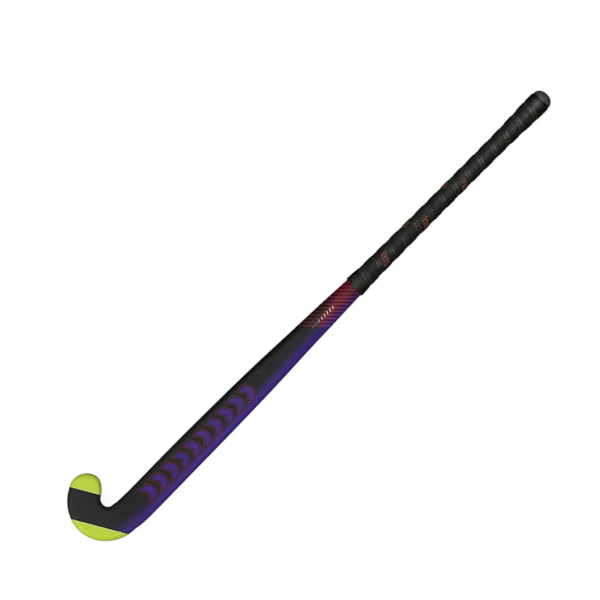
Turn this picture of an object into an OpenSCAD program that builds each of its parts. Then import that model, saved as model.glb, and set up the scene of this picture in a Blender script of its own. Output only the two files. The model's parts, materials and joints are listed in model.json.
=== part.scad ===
// Composite field hockey stick lying on its back, with its flat playing face up.
// It is designed along its handle and then tipped into the attitude in which it rests:
//   x runs along the handle from the heel end of the head to the butt,
//   y points towards the toe side, z points out of the playing face.

/* [Length] */
// Length from the heel end of the head to the top of the butt cap
stick_length = 927; // [900:1:950]
// Length of the handle, from the lower edge of the finishing tape to the top of the butt cap
handle_length = 397; // [380:1:410]

/* [Head] */
// Radius of the line along the middle of the hook
hook_radius = 33.4; // [31:0.1:36]
// Half of the head's width round the hook
head_half_width = 24.1; // [22:0.1:25.4]
// How far the heel bulges past the hook's even width
heel_bulge = 2.6; // [0:0.1:4]
// Radius of the rounded toe
toe_radius = 25.4; // [22:0.1:27]
// How much the toe's inner side is flattened
toe_flat = 5.3; // [0:0.1:7]
// Height of the playing face above the widest line of the section
face_height = 7; // [5:0.1:9]
// Depth of the rounded back below the widest line of the section
back_depth = 14.5; // [11:0.1:16]

/* [Bow] */
// Radius of the side curve between the head and the deepest part of the bow
low_bow_radius = 2000; // [1800:10:4000]
// Radius of the side curve between the deepest part of the bow and the handle
high_bow_radius = 7000; // [6000:100:12000]

/* [Laminate] */
// Wall of the outer shell
shell_wall = 2.2; // [1.6:0.1:3]
// Wall of each inner tube
tube_wall = 1; // [0.6:0.1:1.5]
// Thickness of a decal film
film = 0.2; // [0.1:0.05:0.3]

/* [Decals] */
// Number of chevrons in the row of marks
chevron_count = 10; // [4:1:10]
// Length of one chevron, point included
chevron_length = 18; // [10:0.5:20]
// Width of the row of marks across the face
chevron_width = 23.5; // [16:0.5:28]
// Distance between diagonal stripes, square to them
stripe_pitch = 5.2; // [4:0.1:8]
// Width of one diagonal stripe
stripe_width = 2.4; // [1:0.1:3.5]

/* [Grip] */
// Thickness of the cushion under the grip tape
underlay = 0.3; // [0.2:0.1:0.6]
// Thickness of the wound grip tape
grip = 1.5; // [1.2:0.1:2]
// Thickness of the finishing tape
finish = 0.2; // [0.1:0.1:0.6]
// Length of the finishing tape at the grip's lower end
finish_length = 18; // [12:1:25]
// Radius of the collar at the grip's upper end
collar_radius = 16.4; // [16:0.1:17]
// Radius of the butt cap's dome at its base
dome_radius = 15.2; // [14.8:0.1:15.6]

/* [Rest] */
// Roll towards the toe at which the stick rests on the ground
rest_roll = 19.1; // [0:0.01:25]
// Pitch of the butt towards the ground at which the stick rests
rest_pitch = -0.98; // [-5:0.01:5]

/* [Hidden] */

charcoal = "#2d2d2e";
lime = "#bedb38";
purple = "#48268c";
stripe_red = "#a0283c";
grip_black = "#1d1e1b";
rubber_black = "#141414";
laminate_grey = "#4a4d50";
foam_cream = "#d8cfae";

// Shift that then brings the toe, the belly and the finishing tape down onto the ground z = 0,
// with the middle of the tipped stick's plan at the origin
rest_shift = [-stick_length / 2 + 0.37, -39.16, 5.58];

// Places along the handle
handle_start = stick_length - handle_length;
dome_start = stick_length - 13;
collar_start = stick_length - 30;
collar_straight_end = stick_length - 18;
shell_end = stick_length - 22;
plug_start = stick_length - 45;
foam_start = stick_length - 370;
core_end = 150;
clearance = 0.1;

// Hook: its centre, and the directions from it at which the toe and the shaft begin
hook_centre = [60.1, 34.6];
toe_angle = 111;
shaft_angle = 270;
heel_angle = 185;
toe_blend = 70;
toe_flat_angle = 38;
toe_side = [cos(toe_angle), sin(toe_angle)];
toe_forward = [sin(toe_angle), -cos(toe_angle)];
toe_centre = hook_centre + hook_radius * toe_side;

// Side curve: where the head's straight part and the two arcs of the bow end
straight_head = 90;
low_bow_end = 300;
high_bow_end = 620;
high_bow_slope = (high_bow_end - low_bow_end) / high_bow_radius;
head_slope = high_bow_slope + (low_bow_end - straight_head) / low_bow_radius;

// Sections along the shaft and handle: [place along x, half width, shift of the middle
// towards the toe side, face height, back depth, corner width, fullness of the back]
corner = 7;
fullness = 2.35;
HEAD_SECTION = [face_height, back_depth, corner, fullness];
SECTIONS = [
    [hook_centre[0], head_half_width, hook_centre[1] - hook_radius, face_height, back_depth, corner, fullness],
    [67, 24.15, -0.1, face_height, back_depth, corner, fullness],
    [78, 24.3, -0.75, face_height, back_depth, corner, fullness],
    [95, 24.3, -1, face_height, back_depth, corner, fullness],
    [180, 24.3, 0, face_height, back_depth, corner, fullness],
    [260, 23.6, 0.4, 7.3, 14.8, 7.5, 2.3],
    [340, 22.1, 0.7, 8.4, 14.8, 9.5, 2.25],
    [420, 19, 0.8, 9.8, 14.2, 11.5, 2.2],
    [480, 16.9, 0.7, 11, 13.6, 12.8, 2.12],
    [handle_start, 14.7, 0.3, 12, 13, 13.4, 2.05],
    [handle_start + 30, 13.1, 0, 12.5, 12.7, 12.9, 2],
    [handle_start + 70, 12.5, 0, 12.5, 12.5, 12.4, 2],
    [handle_start + 130, 11.9, 0, 12.4, 12.4, 11.8, 2],
    [stick_length - 107, 11.9, 0, 12.4, 12.4, 11.8, 2],
    [stick_length - 67, 12.7, 0, 13, 13, 12.6, 2],
    [stick_length - 42, 13.9, 0, 13.9, 13.9, 13.8, 2],
    [shell_end, 14.2, 0, 14.2, 14.2, 14.1, 2]
];
RINGS_PER_SPAN = 2;

// Height of the widest line of the section above the handle's axis
function rise(x) =
    x >= high_bow_end ? 0
    : x >= low_bow_end ? pow(high_bow_end - x, 2) / (2 * high_bow_radius)
    : x >= straight_head
    ? rise(low_bow_end) + high_bow_slope * (low_bow_end - x) + pow(low_bow_end - x, 2) / (2 * low_bow_radius)
    : rise(straight_head) + head_slope * (straight_head - x);

// Smooth value of one column of SECTIONS at any place along the stick
function steepness(i, column) =
    i == 0 || i == len(SECTIONS) - 1 ? 0
    : (SECTIONS[i + 1][column] - SECTIONS[i - 1][column]) / (SECTIONS[i + 1][0] - SECTIONS[i - 1][0]);
function span(x) = max([for (i = [0:len(SECTIONS) - 2]) if (i == 0 || SECTIONS[i][0] <= x) i]);
function section_at(x, column) =
    let (
        i = span(x),
        width = SECTIONS[i + 1][0] - SECTIONS[i][0],
        t = min(1, max(0, (x - SECTIONS[i][0]) / width)),
        t2 = t * t,
        t3 = t2 * t
    )
    (2 * t3 - 3 * t2 + 1) * SECTIONS[i][column] + (t3 - 2 * t2 + t) * width * steepness(i, column)
    + (3 * t2 - 2 * t3) * SECTIONS[i + 1][column] + (t3 - t2) * width * steepness(i + 1, column);

// Where the rings between two places lie
GRID = [
    for (i = [0:len(SECTIONS) - 2], k = [0:RINGS_PER_SPAN - 1])
        SECTIONS[i][0] + (SECTIONS[i + 1][0] - SECTIONS[i][0]) * k / RINGS_PER_SPAN
];
function places(from, to) = concat([from], [for (x = GRID) if (x > from + 2 && x < to - 2) x], [to]);

function reversed(list) = [for (i = [len(list) - 1:-1:0]) list[i]];

// Points round a section, as [share of the half width, 1 on the face or 0 on the back]
CORNER_STEPS = [25, 50, 72];
BACK_STEP = 15;
function face_shares(c) = concat([0.5 * (1 - c), 1 - c], [for (b = CORNER_STEPS) 1 - c + c * sin(b)]);
function back_share(angle, n) = sign(cos(angle)) * pow(abs(cos(angle)), 2 / n);
function half_round(c, n) = concat(
    [for (angle = [90:-BACK_STEP:0]) [back_share(angle, n), 0]],
    [for (v = reversed(face_shares(c))) [v, 1]],
    [[0, 1]]
);
function mirrored(half) = [for (i = [len(half) - 2:-1:1]) [-half[i][0], half[i][1]]];
function full_round(c, n) = concat(half_round(c, n), mirrored(half_round(c, n)));

// Height of a point of the section. `tip` is 0 along the stick and turns to 90 at the very toe,
// where the same rounding runs round the end.
function out(share, tip) = min(1, sqrt(pow(sin(tip), 2) + pow(cos(tip) * share, 2)));
function face_z(r, a, c) = r <= 1 - c ? a : a * sqrt(max(0, 1 - pow((r - 1 + c) / c, 2)));
function back_z(r, b, n) = -b * pow(max(0, 1 - pow(r, n)), 1 / n);

// One ring: `middle` is on the widest line, `side` points to the heel side, and the half widths are
// those on the heel side and on the toe side
function ring(middle, side, heel_half, toe_half, shape, tip, inset) =
    let (
        a = shape[0] - inset,
        b = shape[1] - inset,
        n = shape[3],
        c = max(0.05, (shape[2] - inset) / ((heel_half + toe_half) / 2 / max(0.05, cos(tip)))),
        corner_share = min(0.995, c)
    )
    [
        for (p = full_round(corner_share, n))
            let (
                plan = middle + side * p[0] * (p[0] > 0 ? heel_half : toe_half),
                r = out(p[0], tip),
                z = p[1] == 1 ? face_z(r, a, corner_share) : back_z(r, b, n)
            )
            [plan[0], plan[1], rise(plan[0]) + z]
    ];

// Rings of the blank, `inset` millimetres inside its outer surface
TIP_ANGLES = [86, 78, 69, 60, 50, 40, 29, 17];
HOOK_STEPS = 22;
function toe_inner_half(tip) = toe_radius - toe_flat * pow(cos(tip - toe_flat_angle), 2);
function toe_ring(tip, inset) =
    ring(
        toe_centre + toe_forward * (toe_radius - inset) * sin(tip), toe_side,
        (toe_radius - inset) * cos(tip), (toe_inner_half(tip) - inset) * cos(tip), HEAD_SECTION, tip, inset
    );
function hook_ring(angle, inset) =
    let (
        side = [cos(angle), sin(angle)],
        blend = sin(90 * min(1, (angle - toe_angle) / toe_blend)),
        outer = toe_radius + (head_half_width - toe_radius) * blend - inset,
        inner = toe_inner_half(0) + (head_half_width - toe_inner_half(0)) * blend - inset,
        bulge = heel_bulge * pow(max(0, cos(angle - heel_angle)), 3)
    )
    ring(hook_centre + hook_radius * side, side, outer + bulge, inner, HEAD_SECTION, 0, inset);
function shaft_ring(x, inset) =
    let (half = section_at(x, 1) - inset)
    ring(
        [x, section_at(x, 2)], [0, -1], half, half,
        [for (column = [3:6]) section_at(x, column)], 0, inset
    );
function head_rings(inset) = concat(
    [for (tip = TIP_ANGLES) toe_ring(tip, inset)],
    [for (i = [0:HOOK_STEPS - 1]) hook_ring(toe_angle + (shaft_angle - toe_angle) * i / HOOK_STEPS, inset)]
);
function shaft_rings(from, to, inset) = [for (x = places(from, to)) shaft_ring(x, inset)];
function blank_rings(to, inset) = concat(head_rings(inset), shaft_rings(hook_centre[0], to, inset));

// Closed surface through rings of points, each starting at the middle of the back.
// `closed` joins the last ring to the first.
module skin(rings, closed = false) {
    n = len(rings[0]);
    m = len(rings);
    sides = [
        for (i = [0:closed ? m - 1 : m - 2], j = [0:n - 1])
            let (a = i * n + j, b = i * n + (j + 1) % n, c = (i + 1) % m * n + (j + 1) % n, d = (i + 1) % m * n + j)
            each [[a, b, c], [a, c, d]]
    ];
    last = (m - 1) * n;
    ends = closed ? [] : [for (j = [1:n - 2]) each [[0, j + 1, j], [last, last + j, last + j + 1]]];
    polyhedron([for (r = rings) each r], concat(sides, ends));
}

// Sleeve round the shaft or handle, from `inner` to `outer` millimetres outside the blank
module sleeve(from, to, inner, outer) {
    skin(concat(shaft_rings(from, to, -outer), reversed(shaft_rings(from, to, -inner))), closed = true);
}

// Half of the cavity on one side of the middle rib. `toe` is 1 on the toe side and -1 on the heel side.
function half_ring(x, toe, inset, rib) =
    let (
        half = section_at(x, 1) - inset,
        n = section_at(x, 6),
        c = min(0.995, (section_at(x, 5) - inset) / half),
        points = [
            for (p = half_round(c, n))
                let (
                    z = p[1] == 1
                        ? face_z(p[0], section_at(x, 3) - inset, c)
                        : back_z(p[0], section_at(x, 4) - inset, n)
                )
                [x, section_at(x, 2) + toe * (rib + p[0] * (half - rib)), rise(x) + z]
        ]
    )
    toe == 1 ? concat([points[0]], [for (i = [len(points) - 1:-1:1]) points[i]]) : points;
function half_rings(from, to, toe, inset, rib) = [for (x = places(from, to)) half_ring(x, toe, inset, rib)];

module at_rest() {
    translate(rest_shift) rotate([-rest_roll, rest_pitch, 0]) children();
}

module along_handle(from) {
    translate([from, 0, 0]) rotate([0, 90, 0]) children();
}

// Outer laminate: head, shaft and handle in one piece, open only at the butt
module composite_shell() {
    color(charcoal)
        skin(concat(blank_rings(shell_end, 0), reversed(blank_rings(shell_end, shell_wall))));
}

// Moulded foam that fills the head and the lowest part of the shaft
module head_core() {
    color(foam_cream) skin(blank_rings(core_end, shell_wall));
}

// One of the two inner tubes; their flat walls meet as the shaft's middle rib
module inner_tube(toe) {
    from = core_end + clearance;
    to = plug_start - clearance;
    outer = half_rings(from, to, toe, shell_wall, clearance / 2);
    inner = half_rings(from, to, toe, shell_wall + tube_wall, clearance / 2 + tube_wall);
    color(laminate_grey) skin(concat(outer, reversed(inner)), closed = true);
}

module toe_side_tube() {
    inner_tube(1);
}

module heel_side_tube() {
    inner_tube(-1);
}

// Damping foam in the handle end of one inner tube
module handle_foam(toe) {
    rib = clearance / 2 + tube_wall;
    color(foam_cream) skin(half_rings(foam_start, plug_start - clearance, toe, shell_wall + tube_wall, rib));
}

module toe_side_foam() {
    handle_foam(1);
}

module heel_side_foam() {
    handle_foam(-1);
}

bore_radius = 14.2 - shell_wall - 4 * clearance;

// Disc that closes the tubes and the foam off from the cap
module end_plug() {
    color(laminate_grey)
        along_handle(plug_start) cylinder(r = bore_radius, h = collar_start - plug_start, $fn = 64);
}

// Cap: a spigot inside the handle, a flange under the collar, and a flattened dome
module butt_cap() {
    dome_length = stick_length - dome_start;
    dome_fullness = 2.2;
    dome = [
        for (angle = [0:10:80])
            [dome_radius * pow(cos(angle), 2 / dome_fullness), dome_length * pow(sin(angle), 2 / dome_fullness)]
    ];
    color(rubber_black) {
        along_handle(collar_start + clearance)
            cylinder(r = bore_radius, h = shell_end - collar_start, $fn = 64);
        along_handle(shell_end) cylinder(r = 14.2, h = dome_start - shell_end, $fn = 64);
        along_handle(dome_start)
            rotate_extrude($fn = 64) polygon(concat([[0, 0]], dome, [[0, dome_length]]));
    }
}

// Band round the joint of grip and cap, rolled over towards the dome
module top_collar() {
    bore = 14.25;
    straight = collar_straight_end - collar_start;
    end = dome_start - 0.6 - collar_start;
    roll = end - straight;
    lip = 0.9;
    edge = [for (angle = [0:22.5:90]) [collar_radius - lip * (1 - cos(angle)), straight + roll * sin(angle)]];
    color(rubber_black)
        along_handle(collar_start)
            rotate_extrude($fn = 64)
                polygon(concat([[bore, 0], [collar_radius, 0]], edge, [[bore, end]]));
}

// Cushion sleeve glued round the bare handle
module grip_underlay() {
    color(rubber_black) sleeve(handle_start + 3, collar_start - clearance, 0, underlay);
}

// Wound strip of grip tape, as the sleeve that its turns make
module grip_tape() {
    color(grip_black) sleeve(handle_start + 3, collar_start - clearance, underlay, underlay + grip);
}

// Tape over the lower end of the grip, stepping down to the bare shaft
module finishing_tape() {
    top = underlay + grip;
    edge = handle_start + 3 - clearance;
    outer = concat(
        [shaft_ring(handle_start, -top + finish)],
        [for (x = places(edge, handle_start + finish_length)) shaft_ring(x, -top - finish)]
    );
    inner = concat(
        [shaft_ring(handle_start, 0), shaft_ring(edge, 0)],
        [for (x = places(edge + clearance / 2, handle_start + finish_length)) shaft_ring(x, -top)]
    );
    color(rubber_black) skin(concat(outer, reversed(inner)), closed = true);
}

// Film that hugs the head all round, cut to the plan outline given as a child
module head_film() {
    to = straight_head;
    intersection() {
        skin(concat(blank_rings(to, -film), reversed(blank_rings(to, 0))), closed = true);
        translate([0, 0, -back_depth]) linear_extrude(100) children();
    }
}

// Film that hugs the face and edges of the shaft, cut to the plan outline given as a child
module face_film(from, to) {
    reach = 40;
    low = 1;
    intersection() {
        sleeve(from, to, 0, film);
        skin([
            for (x = places(from - 1, to + 1))
                let (z = rise(x) + low)
                [[x, -reach, z], [x, -reach, z + reach], [x, reach, z + reach], [x, reach, z]]
        ]);
        linear_extrude(reach * 2) children();
    }
}

// The two head decals end on parallel lines square to this direction
decal_angle = 30;
toe_decal_edge = 74.3;
heel_decal_edge = 29.9;
sheet = 200;

module toe_decal() {
    color(lime) head_film() rotate(decal_angle) translate([toe_decal_edge, 0]) square(sheet);
}

module heel_decal() {
    color(lime) head_film() rotate(decal_angle) translate([heel_decal_edge - sheet, -sheet / 2]) square(sheet);
}

// Row of chevrons that points to the butt
marks_start = 103.5;
marks_pitch = 22.4;
module mark_decal() {
    arm = chevron_length * 0.6;
    half = chevron_width / 2;
    notch = chevron_length - arm;
    color(purple)
        face_film(marks_start - 5, marks_start + chevron_count * marks_pitch + 5)
            for (i = [0:chevron_count - 1])
                translate([marks_start + i * marks_pitch, 0.5])
                    polygon([[0, -half], [arm, -half], [chevron_length, 0], [arm, half], [0, half], [notch, 0]]);
}

// Diagonal stripes that end on a slanted line below the grip
stripe_angle = 45;
stripe_first = 452;
stripe_reach = 18;
module stripe_decal() {
    spacing = stripe_pitch / sin(stripe_angle);
    breadth = stripe_width / sin(stripe_angle);
    count = floor((handle_start + stripe_reach - stripe_first) / spacing);
    color(stripe_red)
        face_film(stripe_first - 25, handle_start)
            for (i = [0:count - 1])
                translate([stripe_first + i * spacing, 0])
                    polygon([
                        [-stripe_reach, stripe_reach], [breadth - stripe_reach, stripe_reach],
                        [breadth + stripe_reach, -stripe_reach], [stripe_reach, -stripe_reach]
                    ]);
}

at_rest() composite_shell();
at_rest() head_core();
at_rest() toe_side_tube();
at_rest() heel_side_tube();
at_rest() toe_side_foam();
at_rest() heel_side_foam();
at_rest() end_plug();
at_rest() butt_cap();
at_rest() top_collar();
at_rest() grip_underlay();
at_rest() grip_tape();
at_rest() finishing_tape();
at_rest() toe_decal();
at_rest() heel_decal();
at_rest() mark_decal();
at_rest() stripe_decal();
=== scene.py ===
"""Composite field hockey stick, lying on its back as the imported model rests.

Lengths are millimetres in the stick's own frame: x runs along the handle from the heel end of the
head to the butt, y points to the toe side, and z out of the flat playing face. place() turns them
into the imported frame's metres. A turn is an angle in radians round the stick, 0 at the middle of the
face and positive towards the toe side.
"""

import json
import math

import bmesh
import bpy
import numpy as np
from mathutils import Matrix, Vector, noise


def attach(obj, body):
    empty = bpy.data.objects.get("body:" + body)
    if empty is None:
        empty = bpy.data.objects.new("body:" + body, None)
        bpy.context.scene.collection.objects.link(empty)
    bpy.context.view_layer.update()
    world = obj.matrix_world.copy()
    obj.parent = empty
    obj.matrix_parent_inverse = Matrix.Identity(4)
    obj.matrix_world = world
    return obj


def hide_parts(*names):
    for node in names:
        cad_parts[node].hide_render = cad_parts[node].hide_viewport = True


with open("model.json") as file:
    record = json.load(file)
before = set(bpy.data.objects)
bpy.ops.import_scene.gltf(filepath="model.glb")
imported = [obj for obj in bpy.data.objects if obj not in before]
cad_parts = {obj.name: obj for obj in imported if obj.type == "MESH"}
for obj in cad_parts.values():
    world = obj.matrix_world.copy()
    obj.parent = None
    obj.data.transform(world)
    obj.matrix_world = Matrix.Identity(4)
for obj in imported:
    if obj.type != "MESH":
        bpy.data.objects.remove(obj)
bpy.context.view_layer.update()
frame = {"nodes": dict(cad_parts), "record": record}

MM = 0.001

# ---------------------------------------------------------------- the stick's own frame

STICK_LENGTH = 927.0
COLLAR_MOUNT_FROM_END = 24.0


def mount(name):
    """The record's mount of that name."""
    return next(m for m in frame["record"]["mounts"] if m["name"] == name)


X_AXIS = Vector(mount("butt_collar")["axis"]).normalized()
FACE_NORMAL = Vector(mount("playing_face")["axis"])
Z_AXIS = (FACE_NORMAL - X_AXIS * FACE_NORMAL.dot(X_AXIS)).normalized()
Y_AXIS = Z_AXIS.cross(X_AXIS)
ORIGIN = Vector(mount("butt_collar")["pos_m"]) - X_AXIS * (STICK_LENGTH - COLLAR_MOUNT_FROM_END) * MM
TURN = np.array([X_AXIS, Y_AXIS, Z_AXIS])


def place(points):
    """Points in the stick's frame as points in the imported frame, in metres."""
    return np.asarray(points, float) * MM @ TURN + np.array(ORIGIN)


# ---------------------------------------------------------------- shape of the blank

HANDLE_START = STICK_LENGTH - 397
SHELL_END = STICK_LENGTH - 22
COLLAR_START = STICK_LENGTH - 30
COLLAR_STRAIGHT_END = STICK_LENGTH - 18
DOME_START = STICK_LENGTH - 13
SHELL_WALL = 2.2

HOOK_CENTRE = np.array([60.1, 34.6])
HOOK_RADIUS = 33.4
HEAD_HALF_WIDTH = 24.1
HEEL_BULGE, HEEL_ANGLE = 2.6, 185.0
TOE_RADIUS, TOE_FLAT, TOE_FLAT_ANGLE, TOE_BLEND = 25.4, 5.3, 38.0, 70.0
TOE_ANGLE, SHAFT_ANGLE = 111.0, 270.0

FACE_HEIGHT, BACK_DEPTH, CORNER, FULLNESS = 7.0, 14.5, 7.0, 2.35

STRAIGHT_HEAD, LOW_BOW_END, HIGH_BOW_END = 90.0, 300.0, 620.0
LOW_BOW_RADIUS, HIGH_BOW_RADIUS = 2000.0, 7000.0

# Place along x, half width, shift of the middle towards the toe side, face height, back depth,
# corner width and fullness of the back
HEAD_SECTION = (FACE_HEIGHT, BACK_DEPTH, CORNER, FULLNESS)
SECTIONS = np.array(
    [
        [HOOK_CENTRE[0], HEAD_HALF_WIDTH, HOOK_CENTRE[1] - HOOK_RADIUS, *HEAD_SECTION],
        [67, 24.15, -0.1, *HEAD_SECTION],
        [78, 24.3, -0.75, *HEAD_SECTION],
        [95, 24.3, -1, *HEAD_SECTION],
        [180, 24.3, 0, *HEAD_SECTION],
        [260, 23.6, 0.4, 7.3, 14.8, 7.5, 2.3],
        [340, 22.1, 0.7, 8.4, 14.8, 9.5, 2.25],
        [420, 19, 0.8, 9.8, 14.2, 11.5, 2.2],
        [480, 16.9, 0.7, 11, 13.6, 12.8, 2.12],
        [HANDLE_START, 14.7, 0.3, 12, 13, 13.4, 2.05],
        [HANDLE_START + 30, 13.1, 0, 12.5, 12.7, 12.9, 2],
        [HANDLE_START + 70, 12.5, 0, 12.5, 12.5, 12.4, 2],
        [HANDLE_START + 130, 11.9, 0, 12.4, 12.4, 11.8, 2],
        [STICK_LENGTH - 107, 11.9, 0, 12.4, 12.4, 11.8, 2],
        [STICK_LENGTH - 67, 12.7, 0, 13, 13, 12.6, 2],
        [STICK_LENGTH - 42, 13.9, 0, 13.9, 13.9, 13.8, 2],
        [SHELL_END, 14.2, 0, 14.2, 14.2, 14.1, 2],
    ]
)


def rise(x):
    """Height of the section's widest line above the handle's axis."""
    high_slope = (HIGH_BOW_END - LOW_BOW_END) / HIGH_BOW_RADIUS
    head_slope = high_slope + (LOW_BOW_END - STRAIGHT_HEAD) / LOW_BOW_RADIUS
    high = np.clip(HIGH_BOW_END - np.maximum(x, LOW_BOW_END), 0, None)
    low = np.clip(LOW_BOW_END - np.maximum(x, STRAIGHT_HEAD), 0, None)
    straight = np.clip(STRAIGHT_HEAD - np.asarray(x), 0, None)
    high_bow = high**2 / (2 * HIGH_BOW_RADIUS)
    low_bow = high_slope * low + low**2 / (2 * LOW_BOW_RADIUS)
    return high_bow + low_bow + head_slope * straight


def sections_at(x):
    """Half width, shift, face height, back depth, corner width and fullness at places along x, in columns."""
    stations, values = SECTIONS[:, 0], SECTIONS[:, 1:]
    slopes = np.zeros_like(values)
    slopes[1:-1] = (values[2:] - values[:-2]) / (stations[2:] - stations[:-2])[:, None]
    x = np.atleast_1d(np.asarray(x, float))
    i = np.clip(np.searchsorted(stations, x, side="right") - 1, 0, len(stations) - 2)
    width = (stations[i + 1] - stations[i])[:, None]
    t = np.clip((x - stations[i])[:, None] / width, 0, 1)
    return (
        (2 * t**3 - 3 * t**2 + 1) * values[i]
        + (t**3 - 2 * t**2 + t) * width * slopes[i]
        + (3 * t**2 - 2 * t**3) * values[i + 1]
        + (t**3 - t**2) * width * slopes[i + 1]
    )


def section_z(out, on_face, face_height, back_depth, corner_share, fullness):
    """Height over the widest line of points that lie `out` of the way from the middle to the edge."""
    corner = np.clip((out - 1 + corner_share) / corner_share, 0, 1)
    face = face_height * np.sqrt(1 - corner**2)
    back = -back_depth * np.clip(1 - out**fullness, 0, None) ** (1 / fullness)
    return np.where(on_face, face, back)


# Points round a ring: evenly spaced turns, which crowd towards the edges, from the middle of the back
# over the heel side, the face and the toe side
RING_STEPS = 84
RING_TURNS = np.linspace(-math.pi, math.pi, RING_STEPS, endpoint=False)
LEAST_CORNER, MOST_CORNER = 0.05, 0.995
LAST_TIP = 89


def ring(middle, side, heel_half, toe_half, shape, tip=0.0, inset=0.0):
    """One ring of the blank, `inset` inside its surface, and each point's distance from the heel edge.
    `side` points to the heel side. `tip` turns from 0 to a quarter turn round the very toe."""
    face_height, back_depth, corner, fullness = shape
    share = -np.sin(RING_TURNS)
    mean_half = (heel_half + toe_half) / 2 / math.cos(tip)
    corner_share = min(MOST_CORNER, max(LEAST_CORNER, (corner - inset) / mean_half))
    half = np.where(share > 0, heel_half, toe_half)
    plan = middle + np.outer(share * half, side)
    out = np.minimum(1, np.sqrt(math.sin(tip) ** 2 + (math.cos(tip) * share) ** 2))
    z = section_z(
        out, np.cos(RING_TURNS) > 0, face_height - inset, back_depth - inset, corner_share, fullness
    )
    return np.column_stack([plan, rise(plan[:, 0]) + z]), heel_half - share * half


def toe_inner_half(tip):
    """Half width of the toe on the side of the hook's gap, where it is flattened."""
    return TOE_RADIUS - TOE_FLAT * math.cos(tip - math.radians(TOE_FLAT_ANGLE)) ** 2


def direction(degrees):
    return np.array([math.cos(math.radians(degrees)), math.sin(math.radians(degrees))])


def head_rings(tips, turns, inset=0.0):
    """Rings from the tip of the toe, round the hook, to where the shaft begins."""
    side = direction(TOE_ANGLE)
    forward = np.array([side[1], -side[0]])
    centre = HOOK_CENTRE + HOOK_RADIUS * side
    rings = []
    for tip in np.radians(np.linspace(LAST_TIP, 0, tips, endpoint=False)):
        middle = centre + forward * (TOE_RADIUS - inset) * math.sin(tip)
        heel_half = (TOE_RADIUS - inset) * math.cos(tip)
        toe_half = (toe_inner_half(tip) - inset) * math.cos(tip)
        rings.append(ring(middle, side, heel_half, toe_half, HEAD_SECTION, tip, inset))
    for angle in np.linspace(TOE_ANGLE, SHAFT_ANGLE, turns, endpoint=False):
        blend = math.sin(math.radians(90 * min(1, (angle - TOE_ANGLE) / TOE_BLEND)))
        outer = TOE_RADIUS + (HEAD_HALF_WIDTH - TOE_RADIUS) * blend - inset
        inner = toe_inner_half(0) + (HEAD_HALF_WIDTH - toe_inner_half(0)) * blend - inset
        bulge = HEEL_BULGE * max(0, math.cos(math.radians(angle - HEEL_ANGLE))) ** 3
        side = direction(angle)
        middle = HOOK_CENTRE + HOOK_RADIUS * side
        rings.append(ring(middle, side, outer + bulge, inner, HEAD_SECTION, 0, inset))
    return rings


def shaft_rings(start, end, step, inset=0.0):
    """Rings of the shaft and handle between two places."""
    rings = []
    for x in np.linspace(start, end, round((end - start) / step) + 1):
        half, shift, *shape = sections_at(x)[0]
        rings.append(
            ring(np.array([x, shift]), np.array([0, -1]), half - inset, half - inset, shape, 0, inset)
        )
    return rings


def surface(x, turn, lift=0.0):
    """Points `lift` outside the shaft or handle at places x and turns, as an array of rows."""
    x, turn = np.ravel(x), np.ravel(turn)
    half, shift, face_height, back_depth, corner, fullness = sections_at(x).T
    corner_share = np.clip(corner / half, LEAST_CORNER, MOST_CORNER)

    def bare(angle):
        z = section_z(
            np.abs(np.sin(angle)), np.cos(angle) > 0, face_height, back_depth, corner_share, fullness
        )
        return shift + half * np.sin(angle), z

    y, z = bare(turn)
    nudge = 0.02
    ahead, behind = bare(turn + nudge), bare(turn - nudge)
    dy, dz = ahead[0] - behind[0], ahead[1] - behind[1]
    long = np.hypot(dy, dz)
    return np.column_stack([x, y - lift * dz / long, rise(x) + z + lift * dy / long])


# ---------------------------------------------------------------- mesh tools


HARD_EDGE = 40
WELD = 1e-3


def make_piece(name, points, faces, material, replaces=()):
    """A smooth-shaded mesh piece that rides on the stick, with its own-frame places kept for materials."""
    mesh = bpy.data.meshes.new(name)
    mesh.from_pydata([tuple(p) for p in place(points)], [], [tuple(f) for f in faces])
    mesh.validate()
    stick = mesh.attributes.new("stick", "FLOAT_VECTOR", "POINT")
    stick.data.foreach_set("vector", np.asarray(points, np.float32).ravel())
    mesh.materials.append(material)
    piece = bpy.data.objects.new(name, mesh)
    bpy.context.scene.collection.objects.link(piece)
    smooth_below(mesh, HARD_EDGE)
    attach(piece, "root")
    if replaces:
        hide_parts(*replaces)
    return piece


def smooth_below(mesh, degrees):
    """Smooth shading, with hard edges where faces meet at more than that angle."""
    bm = bmesh.new()
    bm.from_mesh(mesh)
    bmesh.ops.recalc_face_normals(bm, faces=bm.faces)
    for face in bm.faces:
        face.smooth = True
    for edge in bm.edges:
        edge.smooth = len(edge.link_faces) == 2 and edge.calc_face_angle() < math.radians(degrees)
    bm.to_mesh(mesh)
    bm.free()


def add_scalar(piece, name, values):
    """Keeps one number per point for a material to read."""
    attribute = piece.data.attributes.new(name, "FLOAT", "POINT")
    attribute.data.foreach_set("value", np.asarray(values, np.float32))


def grid_faces(rows, columns, wrap_rows=False, wrap_columns=True):
    """Quads over a grid of points that is stored row by row."""
    faces = []
    for i in range(rows if wrap_rows else rows - 1):
        for j in range(columns if wrap_columns else columns - 1):
            a, b = i * columns + j, i * columns + (j + 1) % columns
            up = (i + 1) % rows * columns
            c, d = up + (j + 1) % columns, up + j
            faces.append((a, b, c, d))
    return faces


LATHE_STEPS = 96


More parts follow.
